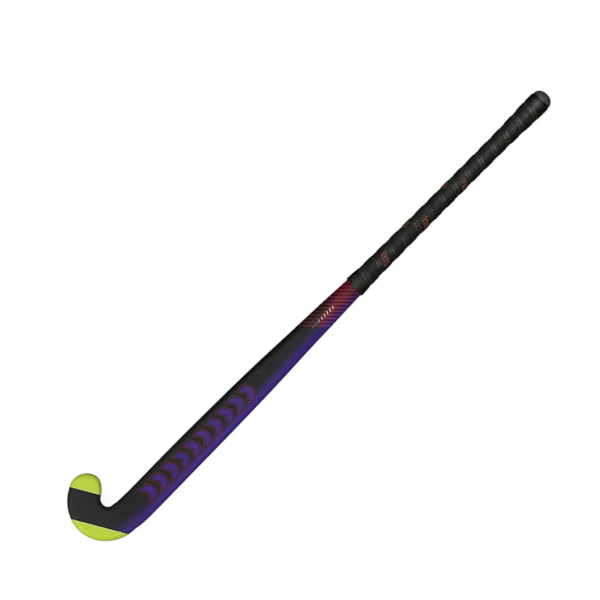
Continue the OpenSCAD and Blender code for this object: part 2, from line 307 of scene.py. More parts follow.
def lathe(name, profile, material, replaces=()):
    """A closed solid turned round the handle's axis from (place, radius) points. A profile that starts
    and ends at radius 0 is closed there; any other is a loop."""
    angles = np.arange(LATHE_STEPS) * math.tau / LATHE_STEPS
    closed_ends = profile[0][1] == 0
    turned = [p for p in profile if p[1] > 0]
    points = [(x, r * math.sin(a), r * math.cos(a)) for x, r in turned for a in angles]
    faces = grid_faces(len(turned), LATHE_STEPS, wrap_rows=not closed_ends)
    if closed_ends:
        first, last = len(points), len(points) + 1
        points += [(profile[0][0], 0, 0), (profile[-1][0], 0, 0)]
        end = (len(turned) - 1) * LATHE_STEPS
        for j in range(LATHE_STEPS):
            faces.append((first, (j + 1) % LATHE_STEPS, j))
            faces.append((last, end + j, end + (j + 1) % LATHE_STEPS))
    return make_piece(name, points, faces, material, replaces)


def arc(x, r, radius_x, radius_r, start, end, steps=8):
    """Points of a rounded edge in a lathe profile, centred on (x, r), from angle to angle in degrees."""
    return [
        (x + radius_x * math.cos(math.radians(a)), r + radius_r * math.sin(math.radians(a)))
        for a in np.linspace(start, end, steps)
    ]


def cut(points, faces, planes):
    """The part of a surface behind every plane. A plane is a point and the normal of the side cut away."""
    bm = bmesh.new()
    verts = [bm.verts.new(p) for p in points]
    for face in faces:
        bm.faces.new([verts[i] for i in face])
    for point, normal in planes:
        geometry = [*bm.verts, *bm.edges, *bm.faces]
        bmesh.ops.bisect_plane(
            bm, geom=geometry, dist=1e-5, plane_co=point, plane_no=normal, clear_outer=True
        )
    bm.verts.index_update()
    kept = [tuple(v.co) for v in bm.verts], [[v.index for v in f.verts] for f in bm.faces]
    bm.free()
    return kept


def edge_planes(outline):
    """Upright planes along the sides of a convex outline, given anticlockwise as (x, y) points."""
    planes = []
    for i, (x0, y0) in enumerate(outline):
        x1, y1 = outline[(i + 1) % len(outline)]
        planes.append(((x0, y0, 0), (y1 - y0, x0 - x1, 0)))
    return planes


def welded(surfaces):
    """One surface from several, with the points that coincide joined."""
    bm = bmesh.new()
    for points, faces in surfaces:
        verts = [bm.verts.new(p) for p in points]
        for face in faces:
            bm.faces.new([verts[i] for i in face])
    bmesh.ops.remove_doubles(bm, verts=bm.verts, dist=WELD)
    bm.verts.index_update()
    joined = [tuple(v.co) for v in bm.verts], [[v.index for v in f.verts] for f in bm.faces]
    bm.free()
    return joined


def thickened(points, faces, thickness):
    """A closed solid whose outer side is an open surface and whose inner side lies `thickness` below it."""
    points = np.asarray(points, float)
    normals = np.zeros_like(points)
    for face in faces:
        corners = points[list(face)]
        middle = corners.mean(0)
        normal = sum(
            np.cross(corners[i] - middle, corners[(i + 1) % len(face)] - middle) for i in range(len(face))
        )
        normals[list(face)] += normal
    normals /= np.maximum(np.linalg.norm(normals, axis=1), 1e-12)[:, None]
    count = len(points)
    sides = {(face[i], face[(i + 1) % len(face)]) for face in faces for i in range(len(face))}
    solid = [list(f) for f in faces] + [[count + i for i in reversed(f)] for f in faces]
    solid += [[b, a, count + a, count + b] for a, b in sorted(sides) if (b, a) not in sides]
    return np.concatenate([points, points - normals * thickness]), solid


PATCH_REACH = 86.0
PATCH_STEP, PATCH_TURN_STEPS = 3.0, 28


def face_patch(start, end, lift):
    """The surface over the face, `lift` outside it, between two places and out to PATCH_REACH degrees each
    way."""
    x = np.linspace(start, end, max(2, round((end - start) / PATCH_STEP) + 1))
    turns = np.radians(np.linspace(-PATCH_REACH, PATCH_REACH, PATCH_TURN_STEPS + 1))
    points = surface(*np.meshgrid(x, turns, indexing="ij"), lift)
    return points, [f[::-1] for f in grid_faces(len(x), len(turns), wrap_columns=False)]


def printed(name, outlines, lift, thickness, material, replaces=()):
    """A printed film in one piece per outline. Each outline is a list of convex cells that join."""
    all_points, all_faces = [], []
    for cells in outlines:
        parts = []
        for cell in cells:
            xs = [p[0] for p in cell]
            patch = face_patch(max(min(xs) - 1, HOOK_CENTRE[0]), min(max(xs) + 1, HANDLE_START), lift)
            parts.append(cut(*patch, edge_planes(cell)))
        points, faces = thickened(*welded([p for p in parts if p[1]]), thickness)
        all_faces += [[len(all_points) + i for i in f] for f in faces]
        all_points += [tuple(p) for p in points]
    return make_piece(name, all_points, all_faces, material, replaces)


# ---------------------------------------------------------------- materials


def colour(red, green, blue):
    """A linear colour from the 0 to 255 values that a screen shows."""
    shown = (red / 255, green / 255, blue / 255)
    return (*(v / 12.92 if v <= 0.04045 else ((v + 0.055) / 1.055) ** 2.4 for v in shown), 1.0)


class Finish:
    """A material, with short calls for the nodes that the finishes share. Lengths are millimetres."""

    def __init__(self, name, roughness, specular):
        self.material = bpy.data.materials.new(name)
        self.material.use_nodes = True
        self.tree = self.material.node_tree
        self.shader = self.tree.nodes["Principled BSDF"]
        self.set("Roughness", roughness)
        self.set("Specular IOR Level", specular)
        self.normal = None

    def feed(self, socket, value):
        if isinstance(value, bpy.types.NodeSocket):
            self.tree.links.new(value, socket)
        else:
            socket.default_value = value

    def set(self, socket, value):
        self.feed(self.shader.inputs[socket], value)

    def node(self, kind, inputs=(), **settings):
        made = self.tree.nodes.new("ShaderNode" + kind)
        for key, value in settings.items():
            setattr(made, key, value)
        for key, value in dict(inputs).items():
            self.feed(made.inputs[key], value)
        return made

    def math(self, operation, a, b=0.0, clamp=False):
        return self.node("Math", {0: a, 1: b}, operation=operation, use_clamp=clamp).outputs[0]

    def fade(self, value, start, end, low=0.0, high=1.0):
        """Smooth step from low to high as value goes from start to end."""
        inputs = {"Value": value, "From Min": start, "From Max": end, "To Min": low, "To Max": high}
        return self.node("MapRange", inputs, interpolation_type="SMOOTHSTEP").outputs[0]

    def curve(self, value, points):
        """A number that follows straight lines through (value, number) points."""
        total = points[0][1]
        for (x0, y0), (x1, y1) in zip(points, points[1:]):
            inputs = {"Value": value, "From Min": x0, "From Max": x1, "To Min": 0.0, "To Max": y1 - y0}
            total = self.math("ADD", self.node("MapRange", inputs).outputs[0], total)
        return total

    def mix(self, share, a, b):
        inputs = {0: share, 6: a, 7: b}
        return self.node("Mix", inputs, data_type="RGBA").outputs[2]

    def places(self):
        """Own-frame places of the surface: x, y and z."""
        vector = self.node("Attribute", attribute_name="stick").outputs["Vector"]
        return self.node("SeparateXYZ", {0: vector}).outputs

    def scalar(self, name):
        return self.node("Attribute", attribute_name=name).outputs["Fac"]

    def vector(self, stretch=(1, 1, 1)):
        """Own-frame places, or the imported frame's in a CAD node, in millimetres, stretched."""
        if self.material.name in CAD_FINISHES:
            source = self.node("TexCoord").outputs["Object"]
            scale = [v / MM for v in stretch]
        else:
            source = self.node("Attribute", attribute_name="stick").outputs["Vector"]
            scale = stretch
        return self.node("Mapping", {"Vector": source, "Scale": scale}).outputs[0]

    def noise(self, size, detail=2.0, stretch=(1, 1, 1), roughness=0.5):
        """Noise with features of about `size`, from 0 to 1."""
        inputs = {"Vector": self.vector(stretch), "Scale": 1 / size, "Detail": detail, "Roughness": roughness}
        return self.node("TexNoise", inputs).outputs["Fac"]

    def cells(self, size):
        """Distance to the nearest border in a pattern of cells of about `size`."""
        inputs = {"Vector": self.vector(), "Scale": 1 / size}
        return self.node("TexVoronoi", inputs, feature="DISTANCE_TO_EDGE").outputs["Distance"]

    def bump(self, height, depth):
        """Adds relief of that depth."""
        made = self.node("Bump", {"Height": height, "Distance": depth * MM, "Strength": 1.0})
        if self.normal is not None:
            self.feed(made.inputs["Normal"], self.normal)
        self.normal = made.outputs[0]
        self.set("Normal", self.normal)


CAD_FINISHES = {"laminate", "foam", "cushion"}

CHARCOAL = colour(34, 34, 34)
INK_BLACK = colour(8, 8, 8)
HEAD_CHARCOAL = colour(47, 49, 46)
SHAFT_CHARCOAL = colour(20, 20, 20)
PURPLE = colour(80, 50, 153)
STRIPED_PURPLE = colour(72, 30, 108)
DARK_RED = colour(92, 4, 20)
PURPLE_BLACK = colour(38, 8, 52)

# The purple edge: distance from the heel edge up to which it is solid, and where it ends, from the head
# along the shaft to the grip
PURPLE_SOLID = [(60, 2.0), (150, 6.0), (300, 6.0), (380, 4.5), (440, 3.5), (500, 3.5)]
PURPLE_END = [(60, 28.0), (150, 21.5), (300, 21.5), (380, 24.0), (440, 22.5), (500, 18.0)]
PURPLE_FALLOFF = 2.2
STRIPES_START = 449.0
PANEL_NORMAL = (math.cos(math.radians(30)), math.sin(math.radians(30)))
TOE_PANEL_EDGE, HEEL_PANEL_EDGE = 74.3, 29.9


def purple_share(finish):
    """How purple the paint is: full along the heel side's edge, fading over the face and the back."""
    x = finish.places()[0]
    inset = finish.math("SUBTRACT", finish.scalar("heel_in"), finish.curve(x, PURPLE_SOLID))
    width = finish.math("SUBTRACT", finish.curve(x, PURPLE_END), finish.curve(x, PURPLE_SOLID))
    faded = finish.math("DIVIDE", inset, width, clamp=True)
    band = finish.math("POWER", finish.math("SUBTRACT", 1.0, faded), PURPLE_FALLOFF)
    on_shaft = finish.fade(panel_coordinate(finish, across=True), 0, -18)
    return finish.math("MULTIPLY", band, finish.math("MULTIPLY", on_shaft, finish.fade(x, 22, 48)))


def red_share(finish, softness=3.5):
    """How red the ground is below the grip: from the heel side first, over the whole width at the grip."""
    x, y, _ = finish.places()
    slope, middle_x, middle_y = 0.34, 484.0, 5.8
    over = finish.math("MULTIPLY", finish.math("SUBTRACT", x, middle_x), slope)
    over = finish.math("SUBTRACT", over, finish.math("SUBTRACT", y, middle_y))
    return finish.fade(over, -softness, softness)


def panel_coordinate(finish, across=False):
    """Distance square to both head panels' straight edges, or along them towards the toe."""
    x, y, _ = finish.places()
    nx, ny = (-PANEL_NORMAL[1], PANEL_NORMAL[0]) if across else PANEL_NORMAL
    return finish.math("ADD", finish.math("MULTIPLY", x, nx), finish.math("MULTIPLY", y, ny))


def painted_lacquer():
    """Satin lacquer over charcoal, with a purple heel edge and a dark red ground below the grip."""
    paint = Finish("shell_lacquer", 0.4, 0.11)
    x, y, _ = paint.places()
    weave = paint.noise(0.9, 2, (1, 2.2, 1))
    base = paint.mix(paint.fade(weave, 0.4, 0.7), CHARCOAL, colour(39, 39, 39))
    base = paint.mix(paint.fade(x, 75, 15), base, HEAD_CHARCOAL)
    base = paint.mix(paint.fade(x, 110, 290, 0, 0.7), base, SHAFT_CHARCOAL)
    edge_purple = paint.mix(paint.fade(x, 450, 500), PURPLE, STRIPED_PURPLE)
    base = paint.mix(purple_share(paint), base, edge_purple)
    behind_line = paint.fade(paint.math("ADD", x, y), STRIPES_START - 0.6, STRIPES_START + 0.6)
    red = paint.math("MULTIPLY", behind_line, red_share(paint))
    not_purple = paint.fade(purple_share(paint), 0.75, 0.15)
    base = paint.mix(paint.math("MULTIPLY", red, not_purple), base, DARK_RED)
    tint = paint.math("MULTIPLY", paint.fade(x, 478, 492), paint.fade(x, 516, 500))
    tint = paint.math("MULTIPLY", tint, paint.fade(y, 7, 11))
    base = paint.mix(tint, base, PURPLE_BLACK)
    along = panel_coordinate(paint)
    toe_side = paint.fade(panel_coordinate(paint, across=True), -4, 4)
    for edge, where in ((TOE_PANEL_EDGE, toe_side), (HEEL_PANEL_EDGE, 1.0)):
        off = paint.math("ABSOLUTE", paint.math("SUBTRACT", along, edge))
        base = paint.mix(paint.math("MULTIPLY", paint.fade(off, 2.4, 1.2), where), base, INK_BLACK)
    paint.set("Base Color", base)
    paint.set("Roughness", paint.fade(paint.noise(14, 3), 0.3, 0.7, 0.3, 0.42))
    paint.bump(paint.noise(2.2, 2), 0.012)
    paint.bump(paint.cells(0.35), 0.006)
    return paint.material


def lime_film():
    """Fluorescent lime print under the satin lacquer, faintly uneven."""
    paint = Finish("decal_lime", 0.42, 0.12)
    mottle = paint.fade(paint.noise(4, 3), 0.3, 0.7)
    base = paint.mix(mottle, colour(211, 239, 70), colour(215, 243, 74))
    along = panel_coordinate(paint)
    for edge in (TOE_PANEL_EDGE, HEEL_PANEL_EDGE):
        off = paint.math("ABSOLUTE", paint.math("SUBTRACT", along, edge))
        base = paint.mix(paint.fade(off, 1.7, 0.9), base, colour(238, 252, 150))
    paint.set("Base Color", base)
    paint.set("Roughness", paint.fade(paint.noise(14, 3), 0.3, 0.7, 0.36, 0.48))
    paint.bump(paint.noise(2.2, 2), 0.012)
    return paint.material


def chevron_ink():
    """Purple ink of the chevrons, streaked bluer."""
    paint = Finish("decal_marks", 0.4, 0.12)
    streaks = paint.fade(paint.noise(5, 2, (1, 0.5, 1)), 0.42, 0.6)
    paint.set("Base Color", paint.mix(streaks, colour(86, 34, 136), colour(48, 48, 122)))
    paint.bump(paint.noise(2.2, 2), 0.01)
    return paint.material


def outline_ink(name, tone, deep):
    """Thin printed line, unevenly covering."""
    paint = Finish(name, 0.42, 0.12)
    mottle = paint.fade(paint.noise(5, 2), 0.3, 0.7)
    paint.set("Base Color", paint.mix(mottle, tone, deep))
    return paint.material


def stripe_ink():
    """Pinkish red stripes that dim to brown on the charcoal and sink into the purple edge, darkened by
    painted shade near the grip.
    """
    paint = Finish("decal_stripes", 0.4, 0.12)
    base = paint.mix(red_share(paint, 7.0), colour(88, 37, 40), colour(142, 42, 62))
    base = paint.mix(paint.fade(purple_share(paint), 0.0, 0.8), base, colour(116, 66, 144))
    # painted shadow of the raised grip: the stripes darken towards it
    base = paint.mix(paint.fade(paint.places()[0], 500, 530, 0, 0.5), base, colour(70, 24, 34))
    paint.set("Base Color", base)
    paint.bump(paint.noise(2.2, 2), 0.01)
    return paint.material


def dash_ink():
    """Pale pink dashes, dimmer at the end nearest the head."""
    paint = Finish("dash_ink", 0.42, 0.12)
    x = paint.places()[0]
    paint.set("Base Color", paint.mix(paint.fade(x, 455, 466), colour(150, 108, 116), colour(242, 188, 202)))
    return paint.material


# How light the grip tape is painted at places across it: a painted highlight along the sunk seam between two
# turns, and painted shade a little way down from it
TAPE_PAINTED_LIGHT_AND_SHADE = [
    (0.0, 0.1), (0.7, 0.15), (1.1, 0.95), (2.6, 1.0), (4.0, 0.85), (5.4, 0.6), (8.0, 0.36),
    (13.0, 0.24), (15.5, 0.12), (17.0, 0.04), (19.5, 0.0), (21.5, 0.1), (23.2, 0.4), (23.8, 0.95),
    (25.0, 0.95), (25.5, 0.15), (26.15, 0.1),
]


def grip_leather():
    """Soft polyurethane tape: near black, mottled by handling, with a fine pebbled grain, and a painted
    highlight and painted shade across each turn.
    """
    skin = Finish("grip", 0.46, 0.54)
    patches = skin.fade(skin.noise(6, 3, (0.8, 1, 1), 0.6), 0.38, 0.62)
    # painted highlight along each seam and painted shade below it, by the place across the tape, lighter
    # towards the butt
    tone = skin.curve(skin.scalar("across"), TAPE_PAINTED_LIGHT_AND_SHADE)
    least = skin.fade(skin.places()[0], 660, 790, 0.2, 0.5)
    evenness = skin.math("ADD", skin.math("MULTIPLY", patches, 0.55), least)
    light = skin.math("MULTIPLY", tone, evenness)
    skin.set("Base Color", skin.mix(light, colour(2, 2, 2), colour(56, 56, 47)))
    rough = skin.fade(skin.noise(5, 3), 0.35, 0.65, 0.58, 0.68)
    rough = skin.math("ADD", rough, skin.fade(skin.places()[0], 780, 660, 0, 0.1))
    skin.set("Roughness", skin.math("SUBTRACT", rough, skin.math("MULTIPLY", light, 0.36)))
    skin.bump(skin.noise(8, 2, (0.7, 1, 1)), 0.5)
    skin.bump(skin.noise(2.6, 3), 0.12)
    skin.bump(skin.cells(0.55), 0.08)
    return skin.material


def grip_ink():
    """Worn orange print on the grip."""
    ink = Finish("grip_print", 0.6, 0.3)
    worn = ink.fade(ink.noise(1.6, 3), 0.45, 0.62)
    ink.set("Base Color", ink.mix(worn, colour(158, 94, 72), colour(84, 50, 38)))
    ink.bump(ink.cells(0.55), 0.04)
    return ink.material


def finishing_film():
    """Stretched PVC tape, smoother than the grip, with fine lines round the handle."""
    tape = Finish("tape", 0.54, 0.36)
    patches = tape.fade(tape.noise(5, 3, (0.7, 1, 1)), 0.34, 0.7)
    tape.set("Base Color", tape.mix(patches, colour(3, 3, 3), colour(42, 42, 35)))
    tape.bump(tape.noise(1.1, 2, (1, 0.08, 0.08)), 0.03)
    tape.bump(tape.noise(7, 2), 0.25)
    return tape.material


def moulded_rubber():
    """Matt moulded rubber with a fine spark-eroded texture, the dome painted lighter than the collar as a
    painted highlight.
    """
    rubber = Finish("cap_rubber", 0.45, 0.7)
    patches = rubber.fade(rubber.noise(8, 3), 0.38, 0.66)
    collar_tone = rubber.mix(patches, colour(3, 3, 3), colour(22, 22, 20))
    # painted highlight: the dome gets a lighter copy of the same rubber's tone
    dome_highlight_tone = rubber.mix(patches, colour(68, 68, 64), colour(102, 102, 95))
    over_dome = rubber.fade(rubber.places()[0], DOME_START, DOME_START + 4)
    rubber.set("Base Color", rubber.mix(over_dome, collar_tone, dome_highlight_tone))
    rubber.set("Roughness", rubber.fade(rubber.noise(4, 3), 0.3, 0.7, 0.4, 0.52))
    rubber.bump(rubber.noise(0.4, 2), 0.03)
    return rubber.material


def laminate_weave():
    """Carbon laminate: a twill of dark strands under resin."""
    weave = Finish("laminate", 0.35, 0.5)
    strands = weave.node(
        "TexWave",
        {"Vector": weave.vector(), "Scale": 0.35, "Distortion": 0.6, "Detail": 1.0},
        bands_direction="DIAGONAL",
    ).outputs["Fac"]
    weave.set("Base Color", weave.mix(strands, colour(22, 22, 24), colour(58, 58, 62)))
    weave.bump(strands, 0.05)
    return weave.material


def rigid_foam():
    """Cream polyurethane foam with fine open cells."""
    foam = Finish("foam", 0.85, 0.2)
    cells = foam.fade(foam.cells(0.9), 0.0, 0.18)
    foam.set("Base Color", foam.mix(cells, colour(186, 170, 128), colour(226, 214, 178)))
    foam.bump(cells, 0.2)
    return foam.material


def cushion_rubber():
    """Thin foam rubber under the grip."""
    cushion = Finish("cushion", 0.8, 0.3)
    cells = cushion.fade(cushion.cells(0.5), 0.0, 0.2)
    cushion.set("Base Color", cushion.mix(cells, colour(14, 14, 14), colour(38, 38, 38)))
    cushion.bump(cells, 0.08)
    return cushion.material


# ---------------------------------------------------------------- the blank and its print

FILM = 0.2


def stick_shell():
    """Outer laminate: the outer surface, and the inner one a wall's thickness inside it, open at the butt."""
    outer, inner = (
        head_rings(tips=22, turns=84, inset=i) + shaft_rings(HOOK_CENTRE[0], SHELL_END, step=4, inset=i)
        for i in (0, SHELL_WALL)
    )
    rings = outer + inner[::-1]
    points = np.concatenate([r[0] for r in rings])
    heel_in = np.concatenate([r[1] for r in rings])
    faces = grid_faces(len(rings), RING_STEPS)
    last = len(points) - RING_STEPS
    faces += [list(range(RING_STEPS)), list(range(last + RING_STEPS - 1, last - 1, -1))]
    piece = make_piece("stick_shell", points, faces, painted_lacquer(), ["composite_shell"])
    add_scalar(piece, "heel_in", heel_in)


def head_surface(lift):
    """The head's outer surface, `lift` outside the blank."""
    rings = head_rings(tips=26, turns=110, inset=-lift)
    rings += shaft_rings(HOOK_CENTRE[0], STRAIGHT_HEAD, step=3, inset=-lift)
    points = np.concatenate([r[0] for r in rings])
    faces = [list(range(RING_STEPS))[::-1]] + [f[::-1] for f in grid_faces(len(rings), RING_STEPS)]
    return points, faces


def head_panels():
    """Lime films that wrap the toe and the heel, ending on parallel lines."""
    material = lime_film()
    along = Vector((*PANEL_NORMAL, 0))
    toe_planes = [(along * TOE_PANEL_EDGE, -along), ((0, 0, 0), (PANEL_NORMAL[1], -PANEL_NORMAL[0], 0))]
    heel_planes = [(along * HEEL_PANEL_EDGE, along)]
    for name, planes, node in (
        ("toe_panel", toe_planes, "toe_decal"),
        ("heel_panel", heel_planes, "heel_decal"),
    ):
        points, faces = thickened(*cut(*head_surface(FILM), planes), FILM)
        make_piece(name, points, faces, material, [node])


CHEVRON_COUNT, CHEVRON_START, CHEVRON_PITCH = 10, 103.5, 22.4
CHEVRON_LENGTH, CHEVRON_WIDTH, CHEVRON_MIDDLE = 18.0, 23.5, 0.5
CHEVRON_GAP, CHEVRON_LINE = 1.1, 2.1


def chevron(start):
    """Corners of a chevron that points to the butt, anticlockwise."""
    arm = CHEVRON_LENGTH * 0.6
    low, middle, high = (CHEVRON_MIDDLE + CHEVRON_WIDTH / 2 * side for side in (-1, 0, 1))
    notch, shoulder, tip = start + CHEVRON_LENGTH - arm, start + arm, start + CHEVRON_LENGTH
    return [(start, low), (shoulder, low), (tip, middle), (shoulder, high), (start, high), (notch, middle)]


def grown(outline, distance):
    """An outline, given anticlockwise, with every side moved outwards."""
    moved = []
    for i, (x, y) in enumerate(outline):
        normals = []
        for (x0, y0), (x1, y1) in ((outline[i - 1], (x, y)), ((x, y), outline[(i + 1) % len(outline)])):
            long = math.hypot(x1 - x0, y1 - y0)
            normals.append(((y1 - y0) / long, (x0 - x1) / long))
        (ax, ay), (bx, by) = normals
        stretch = distance / (1 + ax * bx + ay * by)
        moved.append((x + (ax + bx) * stretch, y + (ay + by) * stretch))
    return moved


def chevron_cells(corners):
    """A chevron as two convex halves."""
    a, b, c, d, e, f = corners
    return [[a, b, c, f], [f, c, d, e]]


def outline_cells(outer, inner):
    """The band between two outlines with matching corners, as convex cells."""
    count = len(outer)
    return [[outer[i], outer[(i + 1) % count], inner[(i + 1) % count], inner[i]] for i in range(count)]


def chevron_row():
    """Row of chevrons along the face, each with a dark surround and a thin outline."""
    starts = [CHEVRON_START + i * CHEVRON_PITCH for i in range(CHEVRON_COUNT)]
    fill = [chevron_cells(chevron(s)) for s in starts]
    gap = [outline_cells(grown(chevron(s), CHEVRON_GAP), chevron(s)) for s in starts]
    line = [outline_cells(grown(chevron(s), CHEVRON_LINE), grown(chevron(s), CHEVRON_GAP)) for s in starts]
    dark = outline_ink("chevron_shadow", colour(30, 8, 14), colour(22, 6, 22))
    red = outline_ink("chevron_outline", colour(124, 58, 40), colour(92, 38, 44))
    printed("chevrons", fill, FILM, FILM, chevron_ink(), ["mark_decal"])
    printed("chevron_surrounds", gap, FILM * 0.6, FILM * 0.6, dark)
    printed("chevron_outlines", line, FILM * 0.8, FILM * 0.8, red)


STRIPE_PITCH, STRIPE_BREADTH, STRIPE_FIRST, STRIPE_REACH = 7.35, 3.4, 452.0, 18.0


def diagonal_stripes():
    """Parallel stripes that cross the shaft at 45 degrees, up to the grip."""
    count = math.floor((HANDLE_START + STRIPE_REACH - STRIPE_FIRST) / STRIPE_PITCH)
    low, high = -STRIPE_REACH, STRIPE_REACH
    outlines = []
    for i in range(count):
        x = STRIPE_FIRST + i * STRIPE_PITCH - STRIPE_BREADTH / 2
        end = x + STRIPE_BREADTH
        outlines.append([[(x - low, low), (end - low, low), (end - high, high), (x - high, high)]])
    piece = printed("diagonal_stripes", outlines, FILM, FILM, stripe_ink(), ["stripe_decal"])
    stick = np.zeros(len(piece.data.vertices) * 3, np.float32)
    piece.data.attributes["stick"].data.foreach_get("vector", stick)
    x, y, _ = stick.reshape(-1, 3).T
    half, shift = sections_at(x)[:, :2].T
    add_scalar(piece, "heel_in", half + y - shift)


DASH_COUNT, SMALL_DASHES, DASH_START, DASH_MIDDLE, DASH_LEAN = 10, 4, 445.5, 1.6, 0.4
# Height, breadth and pitch
SMALL_DASH, LARGE_DASH = (2.6, 1.3, 3.2), (4.4, 1.9, 5.6)


def dash_row():
    """Slanted dashes along the middle of the stripes, the first ones smaller."""
    outlines = []
    x = DASH_START
    for i in range(DASH_COUNT):
        tall, broad, pitch = SMALL_DASH if i < SMALL_DASHES else LARGE_DASH
        low, high, lean = DASH_MIDDLE - tall / 2, DASH_MIDDLE + tall / 2, tall * DASH_LEAN
        outlines.append([[(x, low), (x + broad, low), (x + broad + lean, high), (x + lean, high)]])
        x += pitch
    printed("dashes", outlines, FILM * 2, FILM * 1.5, dash_ink())


# ---------------------------------------------------------------- the grip

UNDERLAY = 0.3
GRIP_RADIUS = 14.0
GRIP_START = HANDLE_START + 3
GRIP_END = COLLAR_START - 0.15
STRIP_WIDTH, STRIP_PITCH = 30.0, 26.15
STRIP_TOP = GRIP_END + 28.0
STRIP_START_TURN = math.radians(54)
STRIP_THICKNESS, STRIP_EDGE, STRIP_BEVEL = 1.75, 0.36, 9.0
STRIP_CROWN, STRIP_LAP, STRIP_LIP = 0.16, 4, 0.25
STRIP_STEPS = 52
# Places across the tape that carry points
NEAR_MARKS = [0, 0.12, 0.3, 1, 2, 3, 3.7, 4, 5, 6, 7.5, 9, 12]
FAR_MARKS = [15, 18, 21, 22.5, 24, 25, 26, 26.3, 27.6, 28.6, 29.7, 29.88, STRIP_WIDTH]
STRIP_MARKS = np.array(NEAR_MARKS + FAR_MARKS)


def strip_thickness(across):
    """Thickness of the tape at a distance across it: bevelled wide towards both edges, so that two turns
    meet in a shallow valley."""
    inside = np.minimum(across, STRIP_WIDTH - across)
    bevel = np.clip(inside / STRIP_BEVEL, 0, 1)
    crown = STRIP_CROWN * np.sin(np.pi * np.clip((across - STRIP_LAP) / (STRIP_PITCH - STRIP_LAP), 0, 1))
    lip = np.clip(inside / STRIP_LIP, 0, 1) ** 0.5
    return (STRIP_EDGE + (STRIP_THICKNESS - STRIP_EDGE) * bevel + crown) * (0.35 + 0.65 * lip)


def softness(x, turn):
    """Small unevenness of the wound tape, the same for every layer at one spot of the handle."""
    spots = surface(x, turn)
    return np.array([0.14 * noise.noise(Vector(p) / 9) + 0.05 * noise.noise(Vector(p) / 3.5) for p in spots])


def strip_side(x, turn, wound, across, outside):
    """Height over the underlay of the strip's outer or inner side. `wound` is the angle wound so far."""
    over_last_turn = across < STRIP_WIDTH - STRIP_PITCH
    uneven = softness(x, turn)
    below = np.where(over_last_turn & (wound > math.tau), strip_thickness(across + STRIP_PITCH) + uneven, 0)
    if not outside:
        return below
    return np.where(below > 0, below + strip_thickness(across), strip_thickness(across) + uneven)


def grip_strip():
    """One long bevelled tape wound down the handle from the collar. Across it, 0 is the edge that laps
    over the turn before."""
    travel = STRIP_TOP - GRIP_START - 2.0
    last_turn = travel / STRIP_PITCH * math.tau
    columns = round(last_turn / math.tau * STRIP_STEPS)
    wound = np.linspace(0, last_turn, columns + 1)
    top = STRIP_TOP - wound / math.tau * STRIP_PITCH
    start = np.maximum(top - GRIP_END, 0)
    stop = np.minimum(top - GRIP_START, STRIP_WIDTH)
    across = start[:, None] + (stop - start)[:, None] * STRIP_MARKS[None, :] / STRIP_WIDTH
    x = top[:, None] - across
    wound = np.repeat(wound[:, None], len(STRIP_MARKS), axis=1)
    x, wound, across = (v.ravel() for v in (x, wound, across))
    turn = STRIP_START_TURN - wound
    sides = [
        surface(x, turn, UNDERLAY + strip_side(x, turn, wound, across, outside)) for outside in (True, False)
    ]
    rows, count = len(top), len(STRIP_MARKS)
    outer = np.arange(rows * count).reshape(rows, count)
    inner = outer + rows * count
    loop = np.concatenate([outer, inner[:, ::-1]], axis=1)
    faces = []
    for i in range(rows - 1):
        for j in range(2 * count):
            k = (j + 1) % (2 * count)
            faces.append((loop[i, j], loop[i, k], loop[i + 1, k], loop[i + 1, j]))
    for i in (0, rows - 1):
        for j in range(count - 1):
            faces.append((outer[i, j], outer[i, j + 1], inner[i, j + 1], inner[i, j]))
    piece = make_piece("grip_strip", np.concatenate(sides), faces, grip_leather(), ["grip_tape"])
    add_scalar(piece, "across", np.concatenate([across, across]))


def grip_top(x, turn):
    """Height of the wound tape's outside over the bare handle at places and turns round the handle."""
    across = (STRIP_TOP - (STRIP_START_TURN - turn) / math.tau * STRIP_PITCH - x) % STRIP_PITCH
    return UNDERLAY + strip_side(x, turn, 2 * math.tau, across, True)


BAR_LENGTH, BAR_BREADTH, BAR_LEAN = 2.2, 3.6, 0.9
BAR_COLUMNS, BAR_COLUMN_PITCH, BAR_ROW_PITCH, BAR_ROW_SHIFT = 3, 3.6, 4.6, 2.6


def grip_bar(x, turn):
    """A small slanted bar that follows the tape, from its corner place and turn."""
    steps = 9, 5
    u, v = (g.ravel() for g in np.meshgrid(*(np.linspace(0, 1, n) for n in steps), indexing="ij"))
    xs = x + BAR_LENGTH * u + BAR_LEAN * v
    turns = turn + (BAR_BREADTH * v + BAR_LEAN * u * 0.2) / GRIP_RADIUS
    points = surface(xs, turns, grip_top(xs, turns) + 0.05)
    return thickened(points, [f[::-1] for f in grid_faces(*steps, wrap_columns=False)], 0.12)


# Middle of each printed mark on the grip: place along the handle and degrees from the face. The first is
# the largest.
GRIP_MARKS = [(592, -10), (671, -27), (749.5, -33), (651, 72), (731, 72), (611, 168), (691, 160)]


def grip_marks():
    """Clusters of slanted bars printed at steps along the tape, in rows that run askew to the handle."""
    all_points, all_faces = [], []
    for number, (middle, degrees) in enumerate(GRIP_MARKS):
        rows = 4 if number == 0 else 3
        for row in range(rows):
            for column in range(BAR_COLUMNS):
                x = middle + (column - BAR_COLUMNS / 2) * BAR_COLUMN_PITCH
                x += (row - rows / 2 + 0.5) * BAR_ROW_SHIFT
                turn = math.radians(degrees) + (row - rows / 2) * BAR_ROW_PITCH / GRIP_RADIUS
                points, faces = grip_bar(x, turn)
                all_faces += [[len(all_points) + i for i in f] for f in faces]
                all_points += [tuple(p) for p in points]
    make_piece("grip_marks", all_points, all_faces, grip_ink())


TAPE_LENGTH, TAPE_TOP, TAPE_SLOPE, TAPE_SLANT = 18.0, 2.3, 2.9, 1.1


